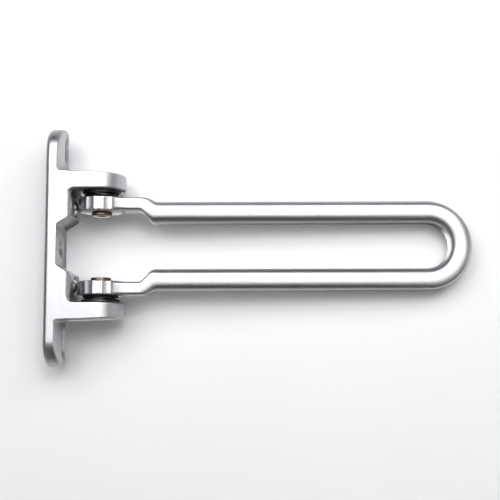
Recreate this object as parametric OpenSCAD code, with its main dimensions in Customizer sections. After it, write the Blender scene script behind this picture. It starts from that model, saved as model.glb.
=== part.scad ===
// Swing-arm door guard: a slim base with two ears, and a looped arm that swings on two pivot pins
// between them. A sprung plunger on each side clicks into the flutes of the arm's eyes.
// The back of the base lies in the plane X = 0, +X points out of it along the resting arm, and +Z is
// the direction of the pivot pins. The two sides are alike, so the side parts are mirrored in Z.

/* [Base] */
// Length of the base, along the pivot pins
base_len = 109; // [104:0.5:114]
// Width of the base and of its ears
base_w = 24; // [23:0.5:26]
// Thickness of the base at its straight edges
edge_t = 4.7; // [4.2:0.1:5]
// Thickness of the base along its crowned middle line
crown_t = 7; // [6.6:0.1:7.6]
// Thickness of the raised block between the ears
block_t = 11.2; // [10.6:0.1:11.4]
// Radius along the long edges of the raised block
block_r = 3.2; // [2:0.1:4]
// Floor of the middle recess above the back
recess_floor = 4.9; // [4.6:0.1:5.2]
// Length of the floor of the middle recess
recess_len = 17.6; // [14:0.2:20]
// Length of the middle recess at its mouth
recess_mouth = 25.6; // [24:0.2:27]

/* [Ears] */
// Distance between the inner faces of the two ears
ear_gap = 50.7; // [50.7:0.1:52]
// Thickness of an ear where it leaves the base
ear_root_t = 8.3; // [7.5:0.1:9]
// Thickness of an ear at its tip
ear_tip_t = 7.4; // [7:0.1:8]
// Reach of the ears from the back of the base
ear_reach = 34.9; // [34:0.1:36]
// Radius of the corners at the tip of an ear
ear_corner_r = 1.8; // [1:0.1:2.5]

/* [Pivot] */
// Distance of the pivot axis from the back of the base
pivot_x = 23.9; // [23.9:0.1:25]
// Radius of the pin where the arm turns on it
pin_r = 3; // [2.8:0.1:3.2]
// Radius of the pin's end, held in the ear
pin_end_r = 2.5; // [2.2:0.1:2.7]
// Radius of the pin's head
pin_head_r = 4.6; // [4.2:0.1:5]
// Height of the pin's head
pin_head_h = 1.6; // [1.2:0.1:1.8]

/* [Arm] */
// Reach of the arm from the pivot axis to its tip
arm_reach = 169.8; // [150:0.5:180]
// Distance between the outer sides of the two bars
loop_w = 40.8; // [40:0.2:41.4]
// Width of each bar
bar_w = 9.9; // [9.4:0.1:10.2]
// Depth of each bar, across the base
bar_d = 12; // [11:0.2:12.4]
// Greatest radius of the fluted eyes
eye_r = 10.5; // [10:0.1:10.5]
// Number of flutes round an eye
flutes = 16; // [12:4:20]
// Distance between the inner faces of the two eyes
eye_inner = 31.8; // [31.4:0.1:32.4]
// Thickness of an eye
eye_t = 6.4; // [6.2:0.1:6.5]

/* [Plungers] */
// Distance of each plunger's axis from the middle of the base
plunger_z = 18; // [17.6:0.1:19]
// Radius of a plunger
plunger_r = 3.93; // [3.9:0.01:3.96]
// Radius of the bore that a plunger slides in
plunger_bore_r = 4; // [3.98:0.01:4.02]

/* [Screw holes] */
// Distance between the two slotted screw holes
slot_pitch = 88; // [86:0.5:89]
// Half width of the slots
slot_r = 2.5; // [2.2:0.1:2.7]
// Length of the slots
slot_len = 10; // [8:0.5:11]
// Radius of the slots' countersinks at the face
sink_r = 4.5; // [4:0.1:4.8]
// Radius of the middle screw hole
mid_hole_r = 2.4; // [2:0.1:2.6]
// Radius of the middle hole's countersink at the face
mid_sink_r = 5; // [4:0.1:5.4]

/* [Hidden] */

$fn = 96;
eps = 0.01;
half_w = base_w / 2;
end_z = base_len / 2 - half_w;          // centre of each round end
ear_z = ear_gap / 2;                    // inner face of an ear
eye_in = eye_inner / 2;                 // inner face of an eye
eye_out = eye_in + eye_t;               // outer face of an eye
loop_r = loop_w / 2 - bar_w / 2;        // centre line of the bars
loop_x = pivot_x + arm_reach - loop_w / 2; // centre of the arm's round end
boss_h = 0.5;                           // an eye stands this far proud of its tongue, inside
joggle_x = pivot_x + 18.4;              // where the tongue starts to turn in to the bar
bar_x = pivot_x + 25.2;                 // where the bar starts
flute_depth = 0.15;                     // hollow of each flute below its chord
bush_r = 3.8;                           // outside of the bush in the eye
bush_clearance = 0.05;                  // between pin and bush
flange_r = 8;
flange_t = 0.9;
steel_r = 8.75;
steel_t = 1;
wave_r = 7.6;
wave_t = 0.45;
gap_clearance = 0.1;                    // between the turning flange and the wave washer
plug_r = 4.5;
plug_t = 1.6;
plug_back = 0.2;                        // the plug lies this far below the back face
plunger_rear = 4.4;
plunger_tip = pivot_x - eye_r - 0.05;   // just clear of the ridges between the flutes
plunger_wall = 1.1;
dome_h = 2.4;
spring_wire = 0.7;
spring_r = 2;                           // mean radius of the coil
spring_turns = 6;

casting_colour = [0.78, 0.79, 0.80];
steel_colour = [0.66, 0.65, 0.63];
bush_colour = [0.08, 0.08, 0.09];
pin_colour = [0.55, 0.44, 0.36];

// Points of an arc of radius r about (cx, cy) from angle a0 to angle a1.
function arc(cx, cy, r, a0, a1, n) =
    [for (i = [0:n]) let (a = a0 + (a1 - a0) * i / n) [cx + r * cos(a), cy + r * sin(a)]];

// Half of the base's section: distance from the middle line, then height above the back. The top is
// an arc from the edge up to the crown, and a small radius rounds the edge.
function half_section() =
    let (
        edge_r = 0.8,
        rise = crown_t - edge_t,
        top_r = (half_w * half_w + rise * rise) / (2 * rise),
        slope = asin((half_w - edge_r) / top_r),
        edge_top = crown_t - top_r + top_r * cos(slope)
    )
    concat(
        [[0, 0], [half_w - 0.3, 0], [half_w, 0.3]],
        arc(half_w - edge_r, edge_top - edge_r, edge_r, 0, 90 - slope, 5),
        [for (i = [9:-1:0]) let (a = slope * i / 9) [top_r * sin(a), crown_t - top_r + top_r * cos(a)]]
    );

// The whole section as (height, distance) points.
function base_section() =
    let (h = half_section(), n = len(h))
    concat(
        [for (i = [1:n - 1]) [h[i][1], h[i][0]]],
        [for (i = [n - 2:-1:1]) [h[i][1], -h[i][0]]]
    );

module both_sides() {
    children();
    mirror([0, 0, 1]) children();
}

// Moves a shape drawn round the Z axis so that its axis is +X at the given height.
module along_x(x, z) {
    translate([x, 0, z]) rotate([0, 90, 0]) children();
}

// Extrudes an outline drawn in X and Z across the width w.
module across(w) {
    rotate([90, 0, 0]) linear_extrude(w, center = true) children();
}

// The crowned strip. Its ends are round in plan, with a wide soft edge that fades out towards the
// straight sides.
module base_plate() {
    edge_w = 4;
    edge_h = crown_t - edge_t;
    rim = [for (i = [0:6]) let (a = 15 * i) [half_w - edge_w + edge_w * cos(a), edge_t + edge_h * sin(a)]];
    translate([0, 0, -end_z]) linear_extrude(2 * end_z) polygon(base_section());
    both_sides() intersection() {
        translate([0, 0, end_z - eps]) linear_extrude(half_w + 1) polygon(base_section());
        translate([0, 0, end_z]) rotate([0, 90, 0]) rotate_extrude()
            polygon(concat([[0, 0], [half_w - 0.3, 0], [half_w, 0.3]], rim, [[0, crown_t]]));
    }
}

// The raised block that holds the plungers, with its long front edges rounded.
module block() {
    outline = concat(
        [[1, -half_w], [1, half_w]],
        arc(block_t - block_r, half_w - block_r, block_r, 90, 0, 8),
        arc(block_t - block_r, block_r - half_w, block_r, 0, -90, 8)
    );
    translate([0, 0, -ear_z - 1]) linear_extrude(2 * ear_z + 2) polygon(outline);
}

module recess() {
    slope = (recess_mouth - recess_len) / 2 / (block_t - recess_floor);
    top = block_t + 1;
    mouth = recess_len / 2 + slope * (top - recess_floor);
    across(base_w + 2) polygon([
        [recess_floor, -recess_len / 2], [top, -mouth], [top, mouth], [recess_floor, recess_len / 2]
    ]);
}

// One ear: a tapering slab with rounded corners at its tip, whose end is round in plan.
module ear() {
    r = ear_corner_r;
    root_out = ear_z + ear_root_t;
    tip_out = ear_z + ear_tip_t;
    intersection() {
        across(base_w) polygon(concat(
            [[1, ear_z]],
            arc(ear_reach - r, ear_z + r, r, -90, 0, 6),
            arc(ear_reach - r, tip_out - r, r, 0, 90, 6),
            [[edge_t, root_out], [1, root_out]]
        ));
        translate([0, 0, ear_z - 1]) linear_extrude(ear_root_t + 2) union() {
            translate([ear_reach - half_w, 0]) circle(half_w);
            translate([0, -half_w]) square([ear_reach - half_w, base_w]);
        }
    }
}

// A countersunk slot along Z, or a round hole when run is 0: face is the height of its rim, and
// rim_r the radius of the countersink there.
module screw_hole(r, rim_r, run, face) {
    sink = rim_r - r;
    over = 2;
    both_sides() translate([0, 0, run / 2]) {
        along_x(-1, 0) cylinder(h = face + 2, r = r);
        along_x(face - sink, 0) cylinder(h = sink + over, r1 = r, r2 = rim_r + over);
    }
    if (run > 0) {
        translate([-1, -r, -run / 2]) cube([face + 2, 2 * r, run]);
        translate([0, 0, -run / 2]) linear_extrude(run) polygon([
            [face - sink, -r], [face + over, -rim_r - over], [face + over, rim_r + over], [face - sink, r]
        ]);
    }
}

module plunger_bore() {
    along_x(1, plunger_z) cylinder(h = block_t, r = plunger_bore_r);
    along_x(-1, plunger_z) cylinder(h = 1 + plug_back + plug_t, r = plug_r);
}

module pin_hole() {
    translate([pivot_x, 0, ear_z - 1]) cylinder(h = 7, r = pin_end_r);
}

module base_casting() {
    color(casting_colour) difference() {
        union() {
            base_plate();
            block();
            both_sides() ear();
        }
        recess();
        screw_hole(mid_hole_r, mid_sink_r, 0, recess_floor);
        both_sides() {
            translate([0, 0, slot_pitch / 2]) screw_hole(slot_r, sink_r, slot_len - 2 * slot_r, crown_t);
            plunger_bore();
            pin_hole();
        }
    }
}

// Outline of an eye about its own centre: equal shallow flutes, one of them facing the plunger.
function eye_outline() =
    let (steps = 4, pitch = 360 / flutes)
    [for (i = [0:flutes - 1], j = [0:steps - 1])
        let (
            t = j / steps,
            a = 180 + pitch * (i - 0.5),
            b = a + pitch,
            p = [eye_r * cos(a), eye_r * sin(a)] * (1 - t) + [eye_r * cos(b), eye_r * sin(b)] * t,
            m = a + pitch / 2,
            dip = flute_depth * 4 * t * (1 - t)
        )
        p - dip * [cos(m), sin(m)]];

module eye() {
    translate([pivot_x, 0, eye_in]) linear_extrude(eye_t) polygon(eye_outline());
}

// The neck that narrows from the eye to the width of the bar.
module neck() {
    start = 5.8;
    start_half = sqrt(eye_r * eye_r - start * start);
    side = [[start, start_half], [8.3, bar_d / 2 + 1.6], [12, bar_d / 2 + 0.7], [17, bar_d / 2]];
    translate([pivot_x, 0, eye_in + boss_h]) linear_extrude(eye_t - boss_h) polygon(concat(
        side,
        [for (i = [len(side) - 1:-1:0]) [side[i][0], -side[i][1]]]
    ));
}

// The flat tongue from the eye and the joggle that brings it in to the line of the bar.
module tongue() {
    tongue_in = eye_in + boss_h;
    bar_in = loop_r - bar_w / 2;
    bar_out = loop_r + bar_w / 2;
    across(bar_d) polygon([
        [pivot_x + 5, tongue_in], [joggle_x, tongue_in], [joggle_x + 1.6, tongue_in - 0.7],
        [joggle_x + 4.6, bar_in + 0.9], [joggle_x + 6, bar_in], [bar_x + 1.5, bar_in],
        [bar_x + 1.5, bar_out], [bar_x + 0.6, bar_out], [bar_x - 0.4, bar_out + 0.3],
        [joggle_x + 4.2, eye_out - 0.5], [joggle_x + 2.8, eye_out], [pivot_x + 5, eye_out]
    ]);
}

// Section of a bar about its centre: an ellipse whose two ends are cut flat to the bar's depth.
function bar_section() =
    let (
        long_r = bar_d * 0.51,
        cut = asin(bar_d / 2 / long_r),
        n = 14
    )
    concat(
        [for (i = [0:n]) let (a = -cut + 2 * cut * i / n) [bar_w / 2 * cos(a), long_r * sin(a)]],
        [for (i = [0:n]) let (a = cut - 2 * cut * i / n) [-bar_w / 2 * cos(a), long_r * sin(a)]]
    );

module loop() {
    both_sides() translate([bar_x, 0, loop_r]) rotate([0, 90, 0])
        linear_extrude(loop_x - bar_x) polygon(bar_section());
    translate([loop_x, 0, 0]) rotate([90, 0, 0]) rotate([0, 0, -90])
        rotate_extrude(angle = 180) translate([loop_r, 0]) polygon(bar_section());
}

module swing_arm() {
    color(casting_colour) difference() {
        union() {
            both_sides() {
                eye();
                neck();
                tongue();
            }
            loop();
        }
        both_sides() translate([pivot_x, 0, eye_in - 1]) cylinder(h = eye_t + 2, r = bush_r);
    }
}

// The headed pin: its head bears on the inside of the eye, and its end is fixed in the ear.
module pivot_pin() {
    head_top = eye_in - 0.05;
    socket_r = 1.9;
    color(pin_colour) translate([pivot_x, 0, 0]) difference() {
        union() {
            translate([0, 0, head_top - pin_head_h])
                cylinder(h = 0.4, r1 = pin_head_r - 0.4, r2 = pin_head_r);
            translate([0, 0, head_top - pin_head_h + 0.4])
                cylinder(h = pin_head_h - 0.4, r = pin_head_r);
            translate([0, 0, head_top - eps]) cylinder(h = ear_z - head_top + eps, r = pin_r);
            translate([0, 0, ear_z - eps]) cylinder(h = 5.8 + eps, r = pin_end_r);
        }
        translate([0, 0, head_top - pin_head_h - eps]) cylinder(h = 2.2, r = socket_r, $fn = 6);
    }
}

// The black flanged bush that lines the eye and fills the first part of the gap to the ear.
module eye_bush() {
    color(bush_colour) translate([pivot_x, 0, 0]) difference() {
        union() {
            translate([0, 0, eye_in + 0.05]) cylinder(h = eye_t - 0.05 + eps, r = bush_r);
            translate([0, 0, eye_out]) cylinder(h = flange_t, r = flange_r);
        }
        translate([0, 0, eye_in - 1]) cylinder(h = eye_t + flange_t + 2, r = pin_r + bush_clearance);
    }
}

// A three-wave spring washer between the flange and the steel washer.
module wave_washer() {
    inner_r = pin_r + 0.5;
    low = eye_out + flange_t + gap_clearance;
    high = ear_z - steel_t - 0.02;
    swing = (high - low - wave_t) / 2;
    n = 72;
    rings = [for (i = [0:n - 1])
        let (a = 360 * i / n, z = low + swing * (1 + cos(3 * a)))
        [[inner_r, z], [wave_r, z], [wave_r, z + wave_t], [inner_r, z + wave_t]]];
    points = [for (i = [0:n - 1], p = rings[i])
        let (a = 360 * i / n) [pivot_x + p[0] * cos(a), p[0] * sin(a), p[1]]];
    faces = [for (i = [0:n - 1], j = [0:3])
        let (i2 = (i + 1) % n, j2 = (j + 1) % 4)
        [4 * i + j, 4 * i + j2, 4 * i2 + j2, 4 * i2 + j]];
    color(steel_colour) polyhedron(points, faces, convexity = 6);
}

module steel_washer() {
    color(steel_colour) translate([pivot_x, 0, ear_z - steel_t]) difference() {
        cylinder(h = steel_t, r = steel_r);
        translate([0, 0, -1]) cylinder(h = steel_t + 2, r = pin_r + 0.3);
    }
}

// The hollow plunger, whose domed tip rides on the flutes of the eye.
module plunger() {
    dome_r = (plunger_r * plunger_r + dome_h * dome_h) / (2 * dome_h);
    dome_a = asin(plunger_r / dome_r);
    length = plunger_tip - plunger_rear;
    cup_r = plunger_r - plunger_wall;
    color(steel_colour) along_x(plunger_rear, plunger_z) rotate_extrude() polygon(concat(
        [[0, length - dome_h - 0.8], [cup_r, length - dome_h - 0.8], [cup_r, 0], [plunger_r, 0]],
        arc(0, length - dome_r, dome_r, 90 - dome_a, 90, 10)
    ));
}

// The compression spring: one wire swept round the plunger's axis.
module plunger_spring() {
    sides = 6;
    per_turn = 16;
    start = plug_back + plug_t + spring_wire / 2 + 0.02;
    finish = plunger_tip - dome_h - 0.8 - spring_wire / 2 - 0.02;
    n = per_turn * spring_turns;
    wire = spring_wire / 2;
    points = [for (i = [0:n], j = [0:sides - 1])
        let (
            a = 360 * i / per_turn,
            b = 360 * j / sides,
            r = spring_r + wire * cos(b)
        )
        [start + (finish - start) * i / n + wire * sin(b), r * cos(a), r * sin(a) + plunger_z]];
    skin = [for (i = [0:n - 1], j = [0:sides - 1])
        let (j2 = (j + 1) % sides)
        [sides * i + j, sides * (i + 1) + j, sides * (i + 1) + j2, sides * i + j2]];
    ends = [[for (j = [0:sides - 1]) j], [for (j = [sides - 1:-1:0]) sides * n + j]];
    color(steel_colour) polyhedron(points, concat(skin, ends), convexity = 8);
}

// The disc pressed into the back of the base, which the spring pushes against.
module spring_plug() {
    color(steel_colour) union() {
        along_x(plug_back, plunger_z) cylinder(h = plug_t, r = plug_r);
        along_x(plug_back + plug_t - eps, plunger_z) cylinder(h = 0.9, r = spring_r - 0.6);
    }
}

base_casting();
swing_arm();
pivot_pin();  // pivot_pin_upper
mirror([0, 0, 1]) pivot_pin();  // pivot_pin_lower
eye_bush();  // eye_bush_upper
mirror([0, 0, 1]) eye_bush();  // eye_bush_lower
wave_washer();  // wave_washer_upper
mirror([0, 0, 1]) wave_washer();  // wave_washer_lower
steel_washer();  // steel_washer_upper
mirror([0, 0, 1]) steel_washer();  // steel_washer_lower
plunger();  // plunger_upper
mirror([0, 0, 1]) plunger();  // plunger_lower
plunger_spring();  // plunger_spring_upper
mirror([0, 0, 1]) plunger_spring();  // plunger_spring_lower
spring_plug();  // spring_plug_upper
mirror([0, 0, 1]) spring_plug();  // spring_plug_lower
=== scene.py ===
"""Swing-arm door guard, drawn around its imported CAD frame.

The two castings and the pins are made from signed distances, so that the castings' edges and
corners have the soft radii of a die casting. Sizes of the guard are in millimetres, in the frame of
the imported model, and become metres when a mesh is made.
"""
import math

import bmesh
import bpy
import numpy as np
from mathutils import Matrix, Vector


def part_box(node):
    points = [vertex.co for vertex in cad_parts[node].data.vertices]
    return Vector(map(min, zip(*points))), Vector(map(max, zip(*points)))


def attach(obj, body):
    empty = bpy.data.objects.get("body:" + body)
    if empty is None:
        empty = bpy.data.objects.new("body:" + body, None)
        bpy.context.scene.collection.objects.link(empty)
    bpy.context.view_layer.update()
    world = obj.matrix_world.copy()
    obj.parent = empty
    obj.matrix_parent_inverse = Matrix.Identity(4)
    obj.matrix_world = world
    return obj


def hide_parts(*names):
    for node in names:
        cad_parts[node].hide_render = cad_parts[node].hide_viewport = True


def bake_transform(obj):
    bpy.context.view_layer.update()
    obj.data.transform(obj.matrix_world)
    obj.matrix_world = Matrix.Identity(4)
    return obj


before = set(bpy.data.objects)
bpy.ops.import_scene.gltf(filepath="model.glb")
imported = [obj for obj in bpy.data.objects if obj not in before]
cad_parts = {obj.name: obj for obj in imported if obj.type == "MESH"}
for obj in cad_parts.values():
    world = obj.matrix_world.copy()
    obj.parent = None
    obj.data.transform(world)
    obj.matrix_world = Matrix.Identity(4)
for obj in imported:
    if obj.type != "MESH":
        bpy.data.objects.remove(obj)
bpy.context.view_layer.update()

import openvdb
from mathutils import Matrix, Vector

MM = 0.001
VOXEL = 0.36


def node_box(node):
    """Lowest and highest corner of a CAD node, in millimetres."""
    low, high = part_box(node)
    return [v / MM for v in low], [v / MM for v in high]


# ---------------------------------------------------------------- sizes, from the frame

BASE_LOW, BASE_HIGH = node_box("base_casting")
ARM_LOW, ARM_HIGH = node_box("swing_arm")
PIN_LOW, PIN_HIGH = node_box("pivot_pin_upper")
WASHER_HIGH = node_box("steel_washer_upper")[1]
PLUNGER_LOW, PLUNGER_HIGH = node_box("plunger_upper")

PIVOT_X = (PIN_LOW[0] + PIN_HIGH[0]) / 2
HALF_W = BASE_HIGH[1]
END_Z = BASE_HIGH[2] - HALF_W
EAR_REACH = BASE_HIGH[0]
EAR_Z = WASHER_HIGH[2]  # the inner face of an ear
PLUNGER_Z = (PLUNGER_LOW[2] + PLUNGER_HIGH[2]) / 2

# The base. A height or a floor is measured from the back of the plate, along x.
EDGE_T, CROWN_T = 5.1, 7.6  # the plate at its long edges and along its middle
BACK_R = 2.4
BLOCK_T, BLOCK_R = 12.0, 3.0
BLOCK_LAP = 2.0  # the block runs this far into the ears
BLOCK_FROM = (6.5, 9.5)  # the rim grows from EDGE_R to BLOCK_R over these heights
BLOCK_TO = (-2.0, 1.5)  # and shrinks again over these distances past the ears' inner face
BLOCK_FILLET, EAR_FILLET = 0.8, 1.4
EDGE_R = 0.25
END_R, END_FROM = 1.4, (2.0, 9.0)  # added to the rim round the plate's ends
EAR_R, EAR_FROM = 0.6, (22.0, 33.0)  # added to the rim at the ears' tips
EAR_ROOT_T, EAR_TIP_T = 8.3, 7.4
EAR_START = 1.5
RECESS_FLOOR, RECESS_HALF, RECESS_SLOPE = 5.6, 9.0, 4.0 / 6.3
SLOT_Z, SLOT_R, SLOT_RUN = 44.0, 2.5, 2.5
SINK_R = 4.5
MID_HOLE_R, MID_SINK_R = 2.4, 5.0
PLUNGER_BORE_R = 4.0
PLUG_R, PLUG_TOP = 4.5, 1.8
PIN_HOLE_Z, PIN_HOLE_HALF = EAR_Z + 2.0, 4.0

# The arm. Distances along it are from the pivot.
EYE_OUT = ARM_HIGH[2]
EYE_T, BOSS_H = 6.4, 0.5
EYE_IN = EYE_OUT - EYE_T
TONGUE_IN = EYE_IN + BOSS_H
EYE_R = 10.5
FLUTES, FLUTE_DEPTH = 16, 0.25
JOG_OUTER, JOG_INNER = (20.6, 26.2), (17.6, 24.6)  # where a bar's two edges step inwards
TONGUE_START, TONGUE_CORNER = 5.0, 1.1
SWELL_START, SWELL_LENGTH, SWELL = 5.8, 11.2, 2.6  # the tongue's extra half depth by the eye
ROUNDING = (16.5, 27.0)  # where the flat tongue turns into the rounded bar
BAR_W, BAR_D = 10.2, 12.0
SQUARE = 3.0  # 2 makes the bar's section an ellipse, more makes it squarer
LOOP_OUT = 20.6
LOOP_R = LOOP_OUT - BAR_W / 2
LOOP_X = ARM_HIGH[0] - LOOP_OUT
BUSH_R = 3.8
BORE_FROM = 14.0  # the bush's bore is only cut in the eyes, beyond this z

# The small parts.
PIN_R, PIN_END_R = 2.95, 2.5
PIN_HEAD_R, PIN_HEAD_H = 4.6, 1.56
PIN_LAP = 0.5  # the pin's three lengths run into each other by this
SOCKET_HALF, SOCKET_DEPTH, SOCKET_BEVEL = 1.65, 2.2, 0.5
SPRING_WIRE, SPRING_TURNS = 0.35, 6
SPRING_STEPS, SPRING_SIDES = 24 * SPRING_TURNS, 10
END_SHARE = 0.16  # share of the coil, at each end, that has a wider pitch
END_EXTRA = 0.06  # share of the length that this adds at each end

# The stage, in metres unless a line says otherwise.
GAP = 0.3  # between the table and the guard, in millimetres
TABLE_REACH = 3.0
PANEL_AIM, PANEL_DISTANCE = (90, 0, 0), 0.9  # the aim is in millimetres
PANELS = (  # name, tilt and turn in degrees, size, radiance
    ("lamp", 21, 68, (0.3, 0.3), 5.5),
    ("overhead", 5, 75, (1.0, 0.62), 1.4),
    ("top", 38, 95, (0.5, 0.5), 2.0),
    ("upper_left", 42, 140, (0.5, 0.5), 2.6),
    ("upper_right", 50, 45, (0.45, 0.4), 2.4),
    ("right", 40, 350, (0.4, 0.4), 0.8),
    ("far_right", 80, 358, (0.5, 0.5), 0.9),
    ("left", 38, 185, (0.4, 0.4), 1.0),
    ("low_left", 70, 235, (0.45, 0.45), 0.42),
    ("low_right", 50, 315, (0.45, 0.45), 0.6),
    ("rear", 145, 165, (0.9, 0.9), 2.5),
    ("rear_right", 125, 5, (1.1, 1.1), 0.9),
)
ROOM_BELOW, ROOM_ABOVE = (0.97, 0.97, 0.96, 1), (1.05, 1.14, 1.42, 1)
ROOM_LIGHT, ROOM_IN_GLOSS = 0.02, 0.12
BACKDROP = (0.81, 0.81, 0.82, 1)
CAMERA_LENS = 63.3
CAMERA_PLACE = (89.0, -401.5, -44.4)  # in millimetres
CAMERA_TURN = (0.44, 6.09, -0.2)  # yaw, rise and roll in degrees
EXPOSURE, GAMMA = 0.15, 0.7  # a crisp, bright product picture


# ---------------------------------------------------------------- signed distances

def ramp(x, start, end):
    """0 before start, 1 after end, and smooth between."""
    t = np.clip((x - start) / (end - start), 0, 1)
    return t * t * (3 - 2 * t)


def both(a, b, r):
    """The solid inside both a and b, with the edge between them rounded to r."""
    return np.minimum(np.maximum(a, b), -r) + np.hypot(np.maximum(a + r, 0), np.maximum(b + r, 0))


def either(a, b, r):
    """The solid of a or b, with a fillet of r between them."""
    return np.maximum(np.minimum(a, b), r) - np.hypot(np.maximum(r - a, 0), np.maximum(r - b, 0))


def without(a, b, r):
    """The solid of a with b cut out of it, with the new edge rounded to r."""
    return both(a, -b, r)


def mesh_from(name, distance, low, high, step):
    """A closed mesh of the surface where distance(x, y, z) is zero, found on a grid over a box."""
    start = [math.floor(v / step) - 3 for v in low]
    stop = [math.ceil(v / step) + 4 for v in high]
    x, y, z = (np.arange(a, b, dtype=np.float32) * step for a, b in zip(start, stop))
    field = distance(x[:, None, None], y[None, :, None], z[None, None, :])
    field = np.clip(field, -4 * step, 4 * step).astype(np.float32)
    grid = openvdb.FloatGrid(4 * step)
    grid.copyFromArray(np.ascontiguousarray(field), tolerance=0)
    points, triangles, quads = grid.convertToPolygons(isovalue=0.0, adaptivity=0.0)
    points = (points + np.array(start)) * step * MM
    faces = [tuple(int(i) for i in f) for f in list(quads) + list(triangles)]
    mesh = bpy.data.meshes.new(name)
    mesh.from_pydata([tuple(p) for p in points], [], faces)
    mesh.validate()
    bm = bmesh.new()
    bm.from_mesh(mesh)
    bmesh.ops.recalc_face_normals(bm, faces=bm.faces)
    bm.to_mesh(mesh)
    bm.free()
    mesh.shade_smooth()
    piece = bpy.data.objects.new(name, mesh)
    bpy.context.scene.collection.objects.link(piece)
    return piece


# ---------------------------------------------------------------- the base casting

def base_distance(x, y, z):
    """The plate, its block and its two ears, less the recess, holes and bores."""
    az = np.abs(z)
    beyond = np.maximum(az - END_Z, 0)
    rise = CROWN_T - EDGE_T
    top_r = (HALF_W ** 2 + rise ** 2) / (2 * rise)
    top = np.hypot(y, x - (CROWN_T - top_r)) - top_r
    block = both(x - BLOCK_T, az - EAR_Z - BLOCK_LAP, 0.5)
    out = az - (EAR_Z + EAR_ROOT_T - (EAR_ROOT_T - EAR_TIP_T) * (x - EDGE_T) / (EAR_REACH - EDGE_T))
    ear = both(np.maximum(out, EAR_Z - az), EAR_START - x, 0.3)
    solid = either(either(top, block, BLOCK_FILLET), ear, EAR_FILLET)

    to_end = np.maximum(x - EAR_REACH + HALF_W, 0)
    side = np.hypot(np.hypot(y, beyond), to_end) - HALF_W
    on_block = ramp(x, *BLOCK_FROM) * (1 - ramp(az, EAR_Z + BLOCK_TO[0], EAR_Z + BLOCK_TO[1]))
    rim = (EDGE_R + END_R * ramp(beyond, *END_FROM) + (BLOCK_R - EDGE_R) * on_block
           + EAR_R * ramp(x, *EAR_FROM))
    solid = both(both(solid, side, rim), -x, BACK_R)

    mouth = (az - RECESS_HALF - RECESS_SLOPE * (x - RECESS_FLOOR)) / math.hypot(1, RECESS_SLOPE)
    recess = np.maximum(both(RECESS_FLOOR - x, mouth, 0.4), x - BLOCK_T - 1)
    solid = without(solid, recess, 0.4)

    for centre, r, rim_r, run, face in ((SLOT_Z, SLOT_R, SINK_R, SLOT_RUN, CROWN_T),
                                        (0, MID_HOLE_R, MID_SINK_R, 0, RECESS_FLOOR)):
        away = np.hypot(y, np.maximum(np.abs(az - centre) - run, 0))
        sink_start = face - (rim_r - r)
        cone = np.maximum((away - r - (x - sink_start)) * math.sqrt(0.5), away - rim_r - 0.5)
        solid = without(solid, np.minimum(away - r, cone), 0.12)

    bore = np.hypot(y, az - PLUNGER_Z)
    solid = without(solid, both(bore - PLUNGER_BORE_R, 1 - x, 0.1), 0.3)
    solid = without(solid, both(bore - PLUG_R, x - PLUG_TOP, 0.1), 0.2)
    pin = np.hypot(x - PIVOT_X, y) - PIN_END_R
    solid = without(solid, both(pin, np.abs(az - PIN_HOLE_Z) - PIN_HOLE_HALF, 0.1), 0.1)
    return solid


def make_base():
    piece = mesh_from("base_casting_body", base_distance, BASE_LOW, BASE_HIGH, VOXEL)
    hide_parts("base_casting")
    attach(piece, "base")
    return piece


# ---------------------------------------------------------------- the swing arm

def arm_distance(x, y, z):
    """Two fluted eyes joined by one bar, which runs from tongue to tongue round the loop."""
    az = np.abs(z)
    along = x - PIVOT_X

    def edges(t):
        return (EYE_OUT + (LOOP_OUT - EYE_OUT) * ramp(t, *JOG_OUTER),
                TONGUE_IN + (LOOP_OUT - BAR_W - TONGUE_IN) * ramp(t, *JOG_INNER))

    outer, inner = edges(along)
    middle, half = (outer + inner) / 2, (outer - inner) / 2
    step = 0.1
    slope = (sum(edges(along + step)) - sum(edges(along - step))) / (4 * step)
    tilt = 1 / np.hypot(1, slope)

    bend = np.hypot(np.maximum(x - LOOP_X, 0), z) - LOOP_R
    off = np.abs(np.where(x > LOOP_X, bend, (az - middle) * tilt))
    half = half * tilt
    taper = np.clip((along - SWELL_START) / SWELL_LENGTH, 0, 1)
    depth = BAR_D / 2 + SWELL * (1 - taper) ** 2

    u = off - half + TONGUE_CORNER
    v = np.abs(y) - depth + TONGUE_CORNER
    flat = (np.hypot(np.maximum(u, 0), np.maximum(v, 0)) + np.minimum(np.maximum(u, v), 0)
            - TONGUE_CORNER)
    u, v = off / half, np.abs(y) / depth
    size = np.maximum((u ** SQUARE + v ** SQUARE) ** (1 / SQUARE), 0.05)
    steep = np.hypot((u / size) ** (SQUARE - 1) / half, (v / size) ** (SQUARE - 1) / depth)
    oval = (size - 1) / steep
    share = ramp(along, *ROUNDING)
    bar = np.maximum(flat + (oval - flat) * share, TONGUE_START - along)

    rho = np.hypot(along, y)
    pitch = 2 * math.pi / FLUTES
    turn = np.mod(np.arctan2(y, along) + math.pi + pitch / 2, pitch) - pitch / 2
    across = EYE_R * math.cos(pitch / 2)
    flute = rho * np.cos(turn) - (across - FLUTE_DEPTH * (1 - (2 * turn / pitch) ** 2))
    eye = both(flute, np.abs(az - (EYE_IN + EYE_OUT) / 2) - EYE_T / 2, 0.25)
    solid = either(eye, bar, 0.5)
    return without(solid, np.maximum(rho - BUSH_R, BORE_FROM - az), 0.3)


def make_arm():
    piece = mesh_from("swing_arm_body", arm_distance, ARM_LOW, ARM_HIGH, VOXEL)
    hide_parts("swing_arm")
    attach(piece, "arm")
    return piece


# ---------------------------------------------------------------- small parts

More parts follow.
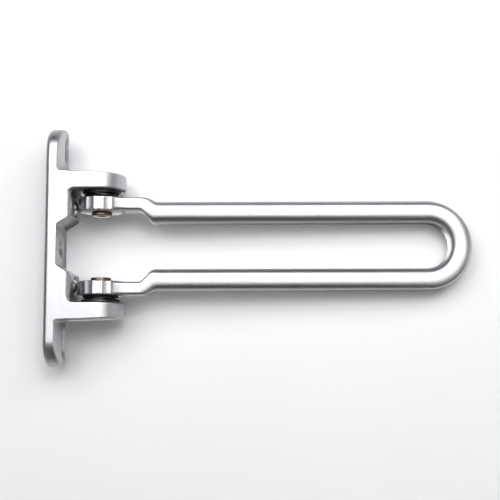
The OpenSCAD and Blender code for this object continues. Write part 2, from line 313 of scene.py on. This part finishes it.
def pin_distance(x, y, z):
    """Both pins, each with its head on the inner side and a thinner end in the ear."""
    az = np.abs(z)
    away = np.hypot(x - PIVOT_X, y)
    head_top = PIN_LOW[2] + PIN_HEAD_H
    head = both(away - PIN_HEAD_R, np.abs(az - PIN_LOW[2] - PIN_HEAD_H / 2) - PIN_HEAD_H / 2, 0.3)
    shank = both(away - PIN_R, np.maximum(head_top - PIN_LAP - az, az - EAR_Z), 0.1)
    end = both(away - PIN_END_R, np.maximum(EAR_Z - PIN_LAP - az, az - PIN_HIGH[2]), 0.25)
    solid = np.minimum(np.minimum(head, shank), end)
    flats = [np.abs((x - PIVOT_X) * math.cos(a) + y * math.sin(a)) - SOCKET_HALF
             for a in (math.pi / 6, math.pi / 2, 5 * math.pi / 6)]
    hexagon = np.maximum(np.maximum(flats[0], flats[1]), flats[2])
    hexagon = np.minimum(hexagon, away - SOCKET_HALF - SOCKET_BEVEL + (az - PIN_LOW[2]))
    return without(solid, np.maximum(hexagon, az - PIN_LOW[2] - SOCKET_DEPTH), 0.08)


def make_pin(end):
    """A headed pin with a hexagon socket, staked into the ear."""
    low, high = node_box("pivot_pin_" + end)
    piece = mesh_from("pin_" + end, pin_distance, low, high, VOXEL * 0.4)
    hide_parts("pivot_pin_" + end)
    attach(piece, "base")
    return piece


def make_spring(end):
    """The coil behind a plunger, built once where it sits at rest; it is not joined to the base or
    the plunger.
    """
    low, high = node_box("plunger_spring_" + end)
    middle = (low[2] + high[2]) / 2
    outer = (high[1] - low[1]) / 2
    first, last = low[0] + SPRING_WIRE, high[0] - SPRING_WIRE
    steps, sides = SPRING_STEPS, SPRING_SIDES
    points, faces = [], []
    for i in range(steps + 1):
        along = i / steps
        reach = (ramp(along, 0, END_SHARE) * END_EXTRA + ramp(along, 1 - END_SHARE, 1) * END_EXTRA
                 + along * (1 - 2 * END_EXTRA))
        turn = 2 * math.pi * SPRING_TURNS * along
        for j in range(sides):
            around = 2 * math.pi * j / sides
            r = outer - SPRING_WIRE + SPRING_WIRE * math.cos(around)
            x = first + (last - first) * reach + SPRING_WIRE * math.sin(around)
            points.append((x * MM, r * math.cos(turn) * MM, (middle + r * math.sin(turn)) * MM))
    for i in range(steps):
        for j in range(sides):
            k = (j + 1) % sides
            faces.append((sides * i + j, sides * (i + 1) + j, sides * (i + 1) + k, sides * i + k))
    faces.append(tuple(range(sides)))
    faces.append(tuple(sides * steps + j for j in reversed(range(sides))))
    mesh = bpy.data.meshes.new("spring_" + end)
    mesh.from_pydata(points, [], faces)
    mesh.shade_smooth()
    piece = bpy.data.objects.new("spring_" + end, mesh)
    bpy.context.scene.collection.objects.link(piece)
    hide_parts("plunger_spring_" + end)
    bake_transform(piece)
    return piece


# ---------------------------------------------------------------- materials

class Nodes:
    """Adds and links the nodes of a material, or of the world."""

    def __init__(self, owner):
        self.owner = owner
        owner.use_nodes = True
        self.tree = owner.node_tree
        self.shader = self.tree.nodes.get("Principled BSDF")

    def add(self, kind, inputs=(), **settings):
        node = self.tree.nodes.new(kind)
        for key, value in settings.items():
            setattr(node, key, value)
        for key, value in dict(inputs).items():
            self.put(node, key, value)
        return node

    def put(self, node, key, value):
        if isinstance(value, bpy.types.NodeSocket):
            self.tree.links.new(value, node.inputs[key])
        else:
            node.inputs[key].default_value = value

    def set(self, **values):
        """Sets or links the shader's own sockets, named with _ for a space."""
        for key, value in values.items():
            self.put(self.shader, key.replace("_", " "), value)


def material_nodes(name):
    return Nodes(bpy.data.materials.new(name))


def noise(nodes, place, scale, detail=3.0, rough=0.5):
    return nodes.add("ShaderNodeTexNoise", {"Vector": place, "Scale": scale, "Detail": detail,
                                            "Roughness": rough}).outputs["Fac"]


def between(nodes, value, low, high, start=0.0, end=1.0):
    """Maps value from start..end to low..high."""
    return nodes.add("ShaderNodeMapRange", {"Value": value, "From Min": start, "From Max": end,
                                            "To Min": low, "To Max": high}).outputs["Result"]


def calculate(nodes, operation, a, b):
    return nodes.add("ShaderNodeMath", {0: a, 1: b}, operation=operation).outputs[0]


def mix_colour(nodes, factor, a, b):
    node = nodes.add("ShaderNodeMix", data_type="RGBA")
    nodes.put(node, 0, factor)
    nodes.put(node, 6, a)
    nodes.put(node, 7, b)
    return node.outputs[2]


def bump(nodes, height, strength, distance):
    return nodes.add("ShaderNodeBump", {"Strength": strength, "Distance": distance,
                                        "Height": height}).outputs["Normal"]


def satin_casting():
    """Satin silver on a zinc casting: a fine sandy grain, cloudy gloss and tiny pits, with painted
    shade that darkens the colour in corners and pockets."""
    n = material_nodes("satin_casting")
    place = n.add("ShaderNodeTexCoord").outputs["Object"]
    cloud = noise(n, place, 110, 4)
    sand = noise(n, place, 1300, 3, 0.6)
    grain = noise(n, place, 4200, 2)
    spots = n.add("ShaderNodeTexVoronoi", {"Vector": place, "Scale": 170.0, "Randomness": 1.0})
    pit = between(n, spots.outputs["Distance"], 1.0, 0.0, 0.03, 0.09)
    colour = mix_colour(n, cloud, (0.63, 0.635, 0.645, 1), (0.72, 0.725, 0.735, 1))
    colour = mix_colour(n, between(n, sand, 0.0, 0.5, 0.42, 0.7), colour, (0.80, 0.80, 0.81, 1))
    colour = mix_colour(n, between(n, pit, 0.0, 0.6), colour, (0.22, 0.22, 0.22, 1))
    # Painted shade: the colour is darkened towards near-black where ambient occlusion finds nearby
    # surfaces, in corners and pockets.
    open_sky = n.add("ShaderNodeAmbientOcclusion", {"Distance": 0.009}, samples=8, only_local=True)
    painted_corner_shade = between(n, open_sky.outputs["AO"], 0.9, 0.22, 0.35, 0.8)
    colour = mix_colour(n, painted_corner_shade, colour, (0.10, 0.098, 0.095, 1))
    rise = calculate(n, "ADD", sand, between(n, grain, 0.0, 0.3))
    rise = calculate(n, "SUBTRACT", rise, between(n, pit, 0.0, 0.8))
    n.set(Base_Color=colour, Metallic=1.0, Roughness=between(n, sand, 0.34, 0.46, 0.3, 0.7),
          Normal=bump(n, rise, 0.35, 0.00008))
    return n.owner


def turned_steel(name, light, dark, rough_low, rough_high):
    """Machined steel with fine turning marks and a little staining."""
    n = material_nodes(name)
    place = n.add("ShaderNodeTexCoord").outputs["Object"]
    stain = noise(n, place, 260, 4)
    marks = noise(n, place, 2600, 2)
    n.set(Base_Color=mix_colour(n, between(n, stain, 0.0, 1.0, 0.35, 0.7), light, dark),
          Metallic=1.0, Roughness=between(n, stain, rough_low, rough_high),
          Normal=bump(n, marks, 0.2, 0.00003))
    return n.owner


def black_nylon():
    n = material_nodes("black_nylon")
    place = n.add("ShaderNodeTexCoord").outputs["Object"]
    grain = noise(n, place, 1800, 3)
    dust = between(n, noise(n, place, 240, 3), 0.0, 0.5, 0.5, 0.8)
    n.set(Base_Color=mix_colour(n, dust, (0.012, 0.012, 0.013, 1), (0.05, 0.05, 0.052, 1)),
          Roughness=between(n, grain, 0.42, 0.6), Normal=bump(n, grain, 0.3, 0.00004))
    return n.owner


def dress(node, material):
    """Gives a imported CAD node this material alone."""
    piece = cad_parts[node]
    piece.data.materials.clear()
    piece.data.materials.append(material)


# ---------------------------------------------------------------- stage

def table_material():
    """A matt pale grey. It is clear from behind. It is clear to short reflection rays too, so that
    the sides of the guard right beside the table don't mirror a brightly lit patch."""
    n = material_nodes("pale_table")
    place = n.add("ShaderNodeTexCoord").outputs["Object"]
    grey = mix_colour(n, noise(n, place, 14, 3), (0.88, 0.88, 0.885, 1), (0.905, 0.905, 0.91, 1))
    n.set(Base_Color=grey, Roughness=0.6, Specular_IOR_Level=0.2)
    ray = n.add("ShaderNodeLightPath").outputs
    near = between(n, ray["Ray Length"], 1.0, 0.0, 0.006, 0.018)
    hidden = calculate(n, "MULTIPLY", near, ray["Is Glossy Ray"])
    behind = n.add("ShaderNodeNewGeometry").outputs["Backfacing"]
    clear = n.add("ShaderNodeBsdfTransparent").outputs[0]
    mixed = n.add("ShaderNodeMixShader", {0: calculate(n, "MAXIMUM", hidden, behind),
                                          1: n.shader.outputs[0], 2: clear})
    n.put(n.tree.nodes["Material Output"], "Surface", mixed.outputs[0])
    return n.owner


def make_table():
    """The pale table the guard lies on, behind it in this frame. The base is wider than the bars
    are deep, so the table leans a little to meet both. It moves back to stay under the tip of the
    arm when that swings towards it."""
    far = TABLE_REACH
    rest_x = EAR_REACH - HALF_W
    lean = (HALF_W - BAR_D / 2) / (LOOP_X - rest_x)
    near_y = HALF_W + GAP + lean * (far / MM + rest_x)
    far_y = HALF_W + GAP - lean * (far / MM - rest_x)
    corners = [(-far, near_y * MM, -far), (far, far_y * MM, -far), (far, far_y * MM, far),
               (-far, near_y * MM, far)]
    mesh = bpy.data.meshes.new("table")
    mesh.from_pydata(corners, [], [(0, 1, 2, 3)])
    mesh.materials.append(table_material())
    table = bpy.data.objects.new("table", mesh)
    bpy.context.scene.collection.objects.link(table)
    table.visible_shadow = False
    table.visible_diffuse = False
    table.visible_transmission = False

    tip = bpy.data.objects.new("arm_tip", None)
    tip.location = (ARM_HIGH[0] * MM, 0, 0)
    bpy.context.scene.collection.objects.link(tip)
    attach(tip, "arm")
    follow = table.constraints.new("COPY_LOCATION")
    follow.target = tip
    follow.use_x = follow.use_z = False
    stop = table.constraints.new("LIMIT_LOCATION")
    stop.use_min_y = True


def make_lights():
    """Flat softboxes that face the guard. Each is tilted away from straight above the table, and
    turned from the arm's side towards the top, in degrees."""
    for name, tilt, turn, size, radiance in PANELS:
        tilt, turn = math.radians(tilt), math.radians(turn)
        away = Vector((math.sin(tilt) * math.cos(turn), -math.cos(tilt),
                       math.sin(tilt) * math.sin(turn)))
        data = bpy.data.lights.new(name, "AREA")
        data.shape = "RECTANGLE"
        data.size, data.size_y = size
        data.energy = radiance * math.pi * size[0] * size[1]
        lamp = bpy.data.objects.new(name, data)
        lamp.location = Vector(PANEL_AIM) * MM + away * PANEL_DISTANCE
        lamp.rotation_mode = "QUATERNION"
        lamp.rotation_quaternion = (-away).to_track_quat("-Z", "Y")
        bpy.context.scene.collection.objects.link(lamp)


def make_room():
    """A dim room for the lights to fill, a little bluer and brighter above. Reflections see more of
    it than the table does, and the camera sees a plain pale backdrop."""
    world = bpy.data.worlds.new("room")
    bpy.context.scene.world = world
    n = Nodes(world)
    place = n.add("ShaderNodeTexCoord").outputs["Generated"]
    up = n.add("ShaderNodeSeparateXYZ", {0: place}).outputs["Z"]
    height = between(n, up, 0.0, 1.0, -0.3, 0.7)
    path = n.add("ShaderNodeLightPath").outputs
    room = n.tree.nodes["Background"]
    n.put(room, "Color", mix_colour(n, height, ROOM_BELOW, ROOM_ABOVE))
    n.put(room, "Strength", between(n, path["Is Glossy Ray"], ROOM_LIGHT, ROOM_IN_GLOSS))
    seen = n.add("ShaderNodeBackground", {"Color": BACKDROP})
    mixed = n.add("ShaderNodeMixShader", {0: path["Is Camera Ray"], 1: room.outputs[0],
                                          2: seen.outputs[0]})
    n.put(n.tree.nodes["World Output"], "Surface", mixed.outputs[0])


def make_camera():
    data = bpy.data.cameras.new("camera")
    data.sensor_width = 36.0
    data.lens = CAMERA_LENS
    data.clip_start, data.clip_end = 0.01, 20.0
    camera = bpy.data.objects.new("camera", data)
    yaw, rise, roll = (math.radians(a) for a in CAMERA_TURN)
    forward = Vector((math.sin(yaw) * math.cos(rise), math.cos(yaw) * math.cos(rise),
                      math.sin(rise)))
    right = Vector((math.cos(yaw), -math.sin(yaw), 0))
    up = right.cross(forward)
    right, up = (right * math.cos(roll) + up * math.sin(roll),
                 up * math.cos(roll) - right * math.sin(roll))
    turn = Matrix((right, up, -forward)).transposed()
    camera.matrix_world = Matrix.Translation(Vector(CAMERA_PLACE) * MM) @ turn.to_4x4()
    bpy.context.scene.collection.objects.link(camera)
    bpy.context.scene.camera = camera


# ---------------------------------------------------------------- putting it together

look = bpy.context.scene.view_settings
look.view_transform = "Standard"
look.exposure, look.gamma = EXPOSURE, GAMMA
make_camera()
make_lights()
make_room()
make_table()
casting = satin_casting()
for piece in (make_base(), make_arm()):
    piece.data.materials.append(casting)

pin_steel = turned_steel("pin_steel", (0.42, 0.31, 0.24, 1), (0.09, 0.075, 0.065, 1), 0.2, 0.36)
washer_steel = turned_steel("washer_steel", (0.16, 0.16, 0.165, 1), (0.05, 0.05, 0.055, 1),
                            0.3, 0.45)
polished = turned_steel("polished_steel", (0.80, 0.80, 0.80, 1), (0.60, 0.60, 0.60, 1), 0.06, 0.14)
nylon = black_nylon()
for end in ("upper", "lower"):
    make_pin(end).data.materials.append(pin_steel)
    make_spring(end).data.materials.append(washer_steel)
    dress("eye_bush_" + end, nylon)
    dress("wave_washer_" + end, washer_steel)
    dress("steel_washer_" + end, washer_steel)
    dress("plunger_" + end, polished)
    dress("spring_plug_" + end, washer_steel)
